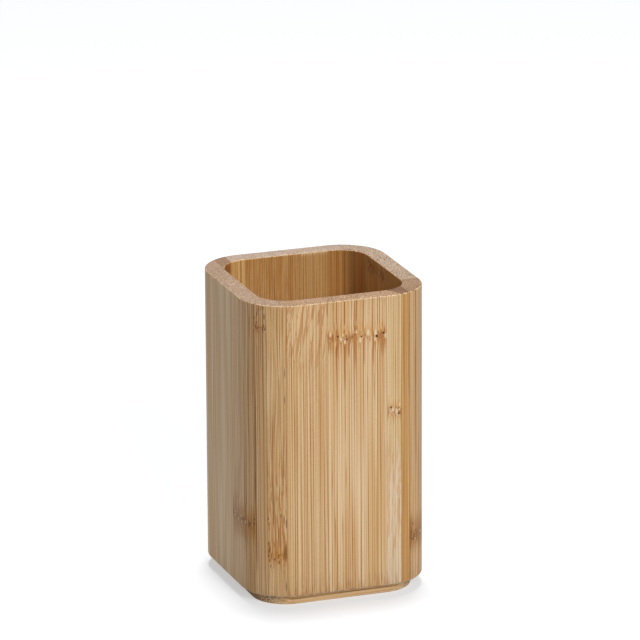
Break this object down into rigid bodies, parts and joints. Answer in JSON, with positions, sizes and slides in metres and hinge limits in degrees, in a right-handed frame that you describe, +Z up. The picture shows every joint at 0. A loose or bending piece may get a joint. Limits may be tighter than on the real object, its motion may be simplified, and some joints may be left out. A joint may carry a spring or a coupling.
{
  "type": "toothbrush tumbler",
  "caption": "Free-standing square tumbler of laminated bamboo with rounded upright corners, an open hollow for toothbrushes and a recessed base.",
  "frame": {"origin": "centre of the base's underside, at the level of the surface that the tumbler stands on", "axes": "+Z up, +X to the right of the front wall and -Y out of the front wall"},
  "size_m": [0.07, 0.07, 0.116],
  "materials": {
    "bamboo_front": "sanded smooth and lightly oiled, upright grain",
    "bamboo_pale": "sanded smooth and lightly oiled, pale inner bamboo",
    "bamboo_golden": "sanded smooth and lightly oiled, golden outer bamboo",
    "bamboo_side": "sanded smooth and lightly oiled, upright grain",
    "bamboo_back": "sanded smooth and lightly oiled, upright grain",
    "bamboo_base": "sanded smooth, grain lying level from left to right"
  },
  "bodies": {
    "root": {"left_wall_strip_1": "bamboo_side", "left_wall_strip_2": "bamboo_side", "left_wall_strip_3": "bamboo_side", "left_wall_strip_4": "bamboo_side", "left_wall_strip_5": "bamboo_side", "left_corner_block_front": "bamboo_golden", "left_corner_block_back": "bamboo_back", "front_wall_strip_1": "bamboo_front", "front_wall_strip_2": "bamboo_front", "front_wall_strip_3": "bamboo_pale", "back_wall_strip_1": "bamboo_golden", "back_wall_strip_2": "bamboo_back", "back_wall_strip_3": "bamboo_back", "back_wall_strip_4": "bamboo_golden", "right_corner_block_front": "bamboo_golden", "right_corner_block_back": "bamboo_back", "right_wall_strip_1": "bamboo_side", "right_wall_strip_2": "bamboo_side", "right_wall_strip_3": "bamboo_side", "right_wall_strip_4": "bamboo_side", "base_strip_1": "bamboo_base", "base_strip_2": "bamboo_base", "base_strip_3": "bamboo_base"}
  },
  "joints": []
}
